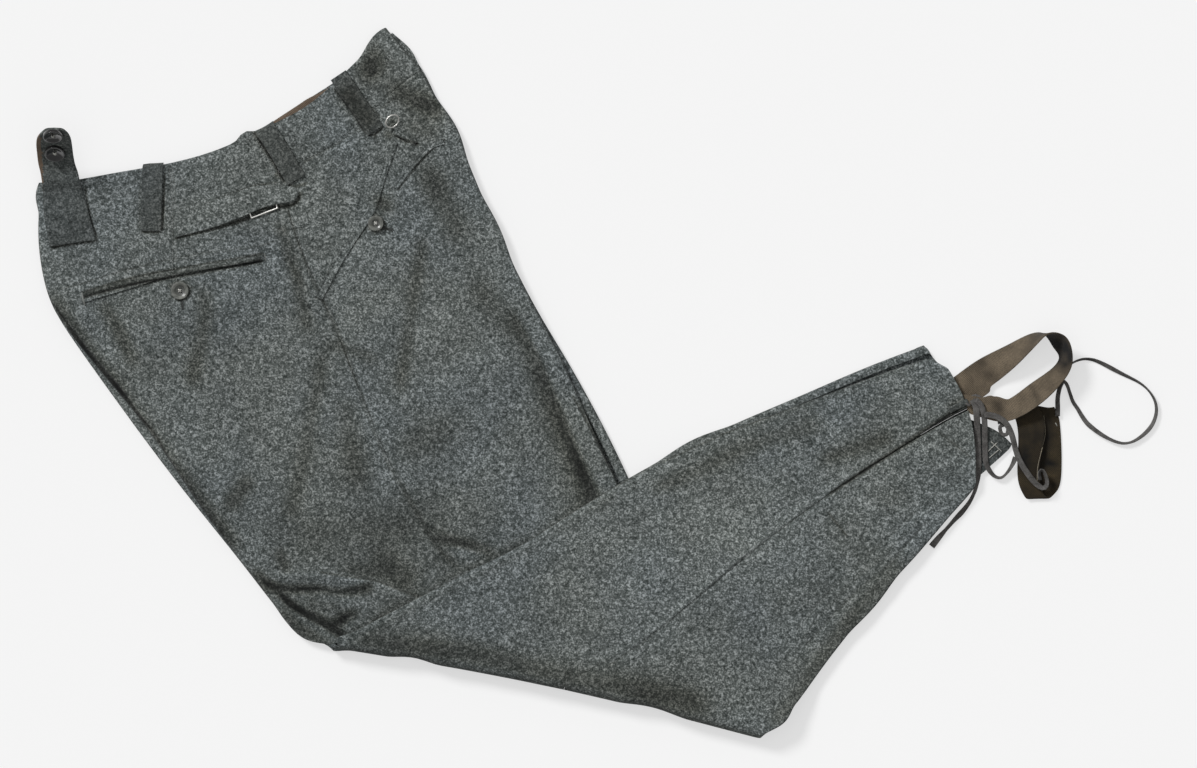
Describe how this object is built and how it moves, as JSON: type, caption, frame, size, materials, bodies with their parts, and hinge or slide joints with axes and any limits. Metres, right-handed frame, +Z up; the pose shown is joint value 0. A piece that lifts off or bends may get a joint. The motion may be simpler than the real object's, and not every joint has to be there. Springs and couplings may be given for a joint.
{
  "type": "mountain trousers",
  "caption": "Heavy wool mountain trousers lying on their side, folded at the knee, with foot straps, tie tapes, a side cinch and a buttoned tab at the back waist.",
  "frame": {"origin": "on the floor under the middle of the trousers and foot straps, without the loose tapes", "axes": "+X from the waist towards the hems, +Y from the back edge towards the front of the waist, +Z up from the floor"},
  "size_m": [1.0546, 0.6642, 0.0617],
  "materials": {
    "wool": "dark grey-green melange wool, soft and matt",
    "lining": "brown cotton, matt",
    "strap": "brown cotton twill, matt",
    "tape": "grey cotton tape, matt",
    "black_button": "glossy black",
    "pocket_button": "grey-green resin, half gloss",
    "steel": "bright nickel-plated steel"
  },
  "bodies": {
    "root": {"left_back_panel": "wool", "left_front_panel": "wool", "left_waistband": "wool", "right_back_panel": "wool", "right_front_panel": "wool", "right_waistband": "wool", "hidden_layers": "wool", "waist_lining": "lining", "belt_loop_back": "wool", "belt_loop_side": "wool", "belt_loop_front": "wool", "centre_back_tab": "wool", "tab_button_lower": "black_button", "tab_button_upper": "black_button", "side_cinch_strap": "wool", "cinch_buckle": "steel", "back_pocket_welt": "wool", "back_pocket_button": "pocket_button", "front_pocket_edge": "wool", "front_pocket_button": "pocket_button", "flap_edge": "wool", "watch_pocket_welt": "wool", "watch_pocket_ring": "steel", "right_hem_end": "wool", "foot_strap_one": "strap", "foot_strap_two": "strap", "tie_tape_long": "tape", "tie_tape_short": "tape", "tie_tape_eyelet": "tape", "tie_tape_loop": "tape"}
  },
  "joints": []
}
